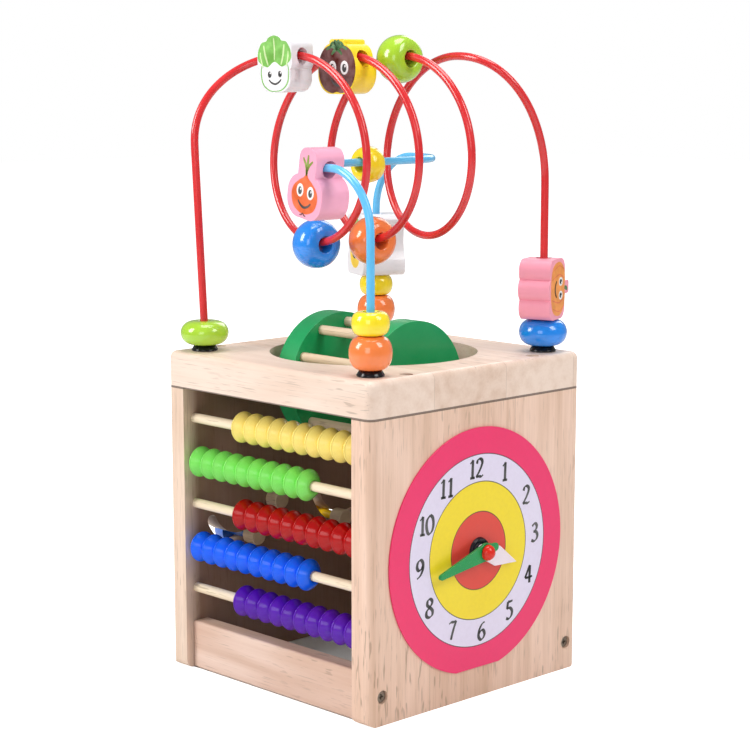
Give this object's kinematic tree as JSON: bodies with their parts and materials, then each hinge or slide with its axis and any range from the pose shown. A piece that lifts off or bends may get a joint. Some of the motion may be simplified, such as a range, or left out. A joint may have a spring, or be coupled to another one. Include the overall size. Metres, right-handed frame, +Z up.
{
  "type": "wooden activity cube with bead maze",
  "caption": "Square wooden play cube with an abacus side, a clock side, a wavy track, gears, a rolling drum in the top and a looping two-wire bead maze above it.",
  "frame": {"origin": "centre of the overall footprint, on the surface the cube stands on", "axes": "+X towards the clock side, -Y towards the abacus side, +Z up"},
  "size_m": [0.206, 0.1932, 0.3912],
  "materials": {
    "wood_top": "clear satin lacquer",
    "wood_clock": "clear satin lacquer",
    "wood_track": "clear satin lacquer",
    "wood_back": "clear satin lacquer",
    "wood_rail": "clear satin lacquer",
    "wood_rods": "clear satin lacquer",
    "wood_bars": "bare",
    "wood_axle": "bare",
    "wood_caps": "bare",
    "wood_pins": "clear satin lacquer",
    "screw_steel": "dull",
    "abacus_yellow": "semi-gloss",
    "abacus_green": "semi-gloss",
    "abacus_red": "semi-gloss",
    "abacus_blue": "semi-gloss",
    "abacus_purple": "semi-gloss",
    "dial_print": "printed",
    "spacer_black": "glossy",
    "hand_white": "glossy",
    "hand_green": "glossy",
    "pin_red": "glossy",
    "drum_green": "gloss paint",
    "wire_red": "gloss coating",
    "wire_blue": "gloss coating",
    "collar_black": "glossy",
    "bead_lime": "gloss paint",
    "bead_blue": "gloss paint",
    "bead_orange": "gloss paint",
    "bead_yellow": "gloss paint",
    "block_pumpkin": "satin paint",
    "block_pear": "satin paint",
    "block_cabbage": "satin paint",
    "block_tomato": "satin paint",
    "block_onion": "satin paint",
    "knob_blue": "gloss paint",
    "knob_red": "gloss paint",
    "knob_yellow": "gloss paint",
    "gear_red": "satin paint",
    "gear_yellow": "satin paint",
    "gear_green": "satin paint",
    "gear_blue": "satin paint"
  },
  "bodies": {
    "cube": {"top_board": "wood_top", "clock_panel": "wood_clock", "track_panel": "wood_track", "back_panel": "wood_back", "bottom_rail": "wood_rail", "screws": "screw_steel", "abacus_rods": "wood_rods", "clock_dial": "dial_print", "clock_spacer": "spacer_black", "clock_pin": "pin_red", "drum_axle": "wood_axle", "red_wire": "wire_red", "blue_wire": "wire_blue", "wire_collars": "collar_black", "gear_pins": "wood_pins"},
    "drum": {"drum_left_disc": "drum_green", "drum_right_disc": "drum_green", "drum_bars": "wood_bars"},
    "short_hand": {"short_hand": "hand_white"},
    "long_hand": {"long_hand": "hand_green"},
    "row_yellow": {"beads_yellow": "abacus_yellow"},
    "row_green": {"beads_green": "abacus_green"},
    "row_red": {"beads_red": "abacus_red"},
    "row_blue": {"beads_blue": "abacus_blue"},
    "row_purple": {"beads_purple": "abacus_purple"},
    "left_green_bead": {"bead_left_green": "bead_lime"},
    "right_blue_bead": {"bead_right_blue": "bead_blue"},
    "pumpkin": {"pumpkin_block": "block_pumpkin"},
    "front_orange_bead": {"bead_front_orange": "bead_orange"},
    "front_yellow_bead": {"bead_front_yellow": "bead_yellow"},
    "back_orange_bead": {"bead_back_orange": "bead_orange"},
    "back_yellow_bead": {"bead_back_yellow": "bead_yellow"},
    "pear": {"pear_block": "block_pear"},
    "cabbage": {"cabbage_block": "block_cabbage"},
    "tomato": {"tomato_block": "block_tomato"},
    "coil_green_bead": {"bead_coil_green": "bead_lime"},
    "coil_blue_bead": {"bead_coil_blue": "bead_blue"},
    "coil_orange_bead": {"bead_coil_orange": "bead_orange"},
    "onion": {"onion_block": "block_onion"},
    "swing_yellow_bead": {"bead_swing_yellow": "bead_yellow"},
    "knob_left": {"track_knob_left": "knob_blue", "track_cap_left": "wood_caps"},
    "knob_mid": {"track_knob_mid": "knob_red", "track_cap_mid": "wood_caps"},
    "knob_right": {"track_knob_right": "knob_yellow", "track_cap_right": "wood_caps"},
    "gear_left": {"gear_left": "gear_red"},
    "gear_middle": {"gear_middle": "gear_yellow"},
    "gear_right": {"gear_right": "gear_green"},
    "gear_lower": {"gear_lower": "gear_blue"}
  },
  "joints": [
    {"name": "drum_spin", "type": "hinge", "parent": "cube", "child": "drum", "pos_m": [0, -0.00615, 0.18], "axis": [1, 0, 0], "continuous": true},
    {"name": "short_hand_turn", "type": "hinge", "parent": "cube", "child": "short_hand", "pos_m": [0.09, -0.00785, 0.09], "axis": [1, 0, 0], "continuous": true},
    {"name": "long_hand_turn", "type": "hinge", "parent": "cube", "child": "long_hand", "pos_m": [0.09, -0.00785, 0.09], "axis": [1, 0, 0], "continuous": true},
    {"name": "row_yellow_slide", "type": "slide", "parent": "cube", "child": "row_yellow", "axis": [-1, 0, 0], "range_m": [0, 0.0406]},
    {"name": "row_green_slide", "type": "slide", "parent": "cube", "child": "row_green", "axis": [1, 0, 0], "range_m": [0, 0.0406]},
    {"name": "row_red_slide", "type": "slide", "parent": "cube", "child": "row_red", "axis": [-1, 0, 0], "range_m": [0, 0.0406]},
    {"name": "row_blue_slide", "type": "slide", "parent": "cube", "child": "row_blue", "axis": [1, 0, 0], "range_m": [0, 0.0406]},
    {"name": "row_purple_slide", "type": "slide", "parent": "cube", "child": "row_purple", "axis": [-1, 0, 0], "range_m": [0, 0.0406]},
    {"name": "left_green_bead_slide", "type": "slide", "parent": "cube", "child": "left_green_bead", "axis": [-0.0282, -0.0282, 0.9992], "range_m": [0, 0.08]},
    {"name": "right_blue_bead_slide", "type": "slide", "parent": "cube", "child": "right_blue_bead", "axis": [0, 0, 1], "range_m": [0, 0.02]},
    {"name": "pumpkin_slide", "type": "slide", "parent": "right_blue_bead", "child": "pumpkin", "axis": [0, 0, 1], "range_m": [0, 0.025]},
    {"name": "front_orange_bead_slide", "type": "slide", "parent": "cube", "child": "front_orange_bead", "axis": [0, 0, 1], "range_m": [0, 0.018]},
    {"name": "front_yellow_bead_slide", "type": "slide", "parent": "front_orange_bead", "child": "front_yellow_bead", "axis": [0, 0, 1], "range_m": [0, 0.024]},
    {"name": "back_orange_bead_spin", "type": "hinge", "parent": "cube", "child": "back_orange_bead", "pos_m": [-0.0735, 0.06735, 0.25], "axis": [0, 0, 1], "continuous": true},
    {"name": "back_yellow_bead_spin", "type": "hinge", "parent": "cube", "child": "back_yellow_bead", "pos_m": [-0.0735, 0.06735, 0.25], "axis": [0, 0, 1], "continuous": true},
    {"name": "pear_spin", "type": "hinge", "parent": "cube", "child": "pear", "pos_m": [-0.0735, 0.06735, 0.25], "axis": [0, 0, 1], "continuous": true},
    {"name": "cabbage_travel", "type": "hinge", "parent": "cube", "child": "cabbage", "pos_m": [-0.03457, -0.0422, 0.31935], "axis": [-0.1039, 0.9906, -0.0888], "range_deg": [0, 24]},
    {"name": "tomato_travel", "type": "hinge", "parent": "cube", "child": "tomato", "pos_m": [-0.01127, -0.01898, 0.31577], "axis": [-0.0001, 0.9997, -0.0253], "range_deg": [-24, 24]},
    {"name": "coil_green_bead_travel", "type": "hinge", "parent": "cube", "child": "coil_green_bead", "pos_m": [0.01203, 0.00426, 0.31777], "axis": [0.0297, 0.9992, -0.028], "range_deg": [-24, 14]},
    {"name": "coil_blue_bead_travel", "type": "hinge", "parent": "cube", "child": "coil_blue_bead", "pos_m": [-0.0242, -0.02945, 0.31705], "axis": [0.1237, 0.9919, -0.0285], "range_deg": [-4, 24]},
    {"name": "coil_orange_bead_travel", "type": "hinge", "parent": "cube", "child": "coil_orange_bead", "pos_m": [-0.00071, -0.00617, 0.31746], "axis": [0.1603, 0.9867, -0.026], "range_deg": [-24, 4]},
    {"name": "onion_travel", "type": "hinge", "parent": "cube", "child": "onion", "pos_m": [0.03837, -0.03769, 0.3155], "axis": [0, 0, -1], "range_deg": [0, 6]},
    {"name": "swing_yellow_bead_slide", "type": "slide", "parent": "cube", "child": "swing_yellow_bead", "axis": [0.0386, 0.9993, 0], "range_m": [-0.017, 0.02]},
    {"name": "knob_left_travel", "type": "hinge", "parent": "cube", "child": "knob_left", "pos_m": [-0.09, -0.0521, 0.10161], "axis": [1, 0, 0], "range_deg": [-82, 2]},
    {"name": "knob_mid_travel", "type": "hinge", "parent": "cube", "child": "knob_mid", "pos_m": [-0.09, -0.00715, 0.08159], "axis": [1, 0, 0], "range_deg": [-94, 2]},
    {"name": "knob_right_travel", "type": "hinge", "parent": "cube", "child": "knob_right", "pos_m": [-0.09, 0.0378, 0.10161], "axis": [1, 0, 0], "range_deg": [-4, 80]},
    {"name": "gear_left_spin", "type": "hinge", "parent": "cube", "child": "gear_left", "pos_m": [-0.046, 0.08385, 0.128], "axis": [0, 1, 0], "continuous": true},
    {"name": "gear_middle_spin", "type": "hinge", "parent": "cube", "child": "gear_middle", "pos_m": [0, 0.08385, 0.11112], "axis": [0, 1, 0], "continuous": true},
    {"name": "gear_right_spin", "type": "hinge", "parent": "cube", "child": "gear_right", "pos_m": [0.046, 0.08385, 0.128], "axis": [0, 1, 0], "continuous": true},
    {"name": "gear_lower_spin", "type": "hinge", "parent": "cube", "child": "gear_lower", "pos_m": [0, 0.08385, 0.06912], "axis": [0, 1, 0], "continuous": true}
  ],
  "couplings": [
    {"joint": "gear_middle_spin", "follows": "gear_left_spin", "ratio": -1.3333},
    {"joint": "gear_right_spin", "follows": "gear_left_spin", "ratio": 1},
    {"joint": "gear_lower_spin", "follows": "gear_left_spin", "ratio": 1.3333}
  ]
}
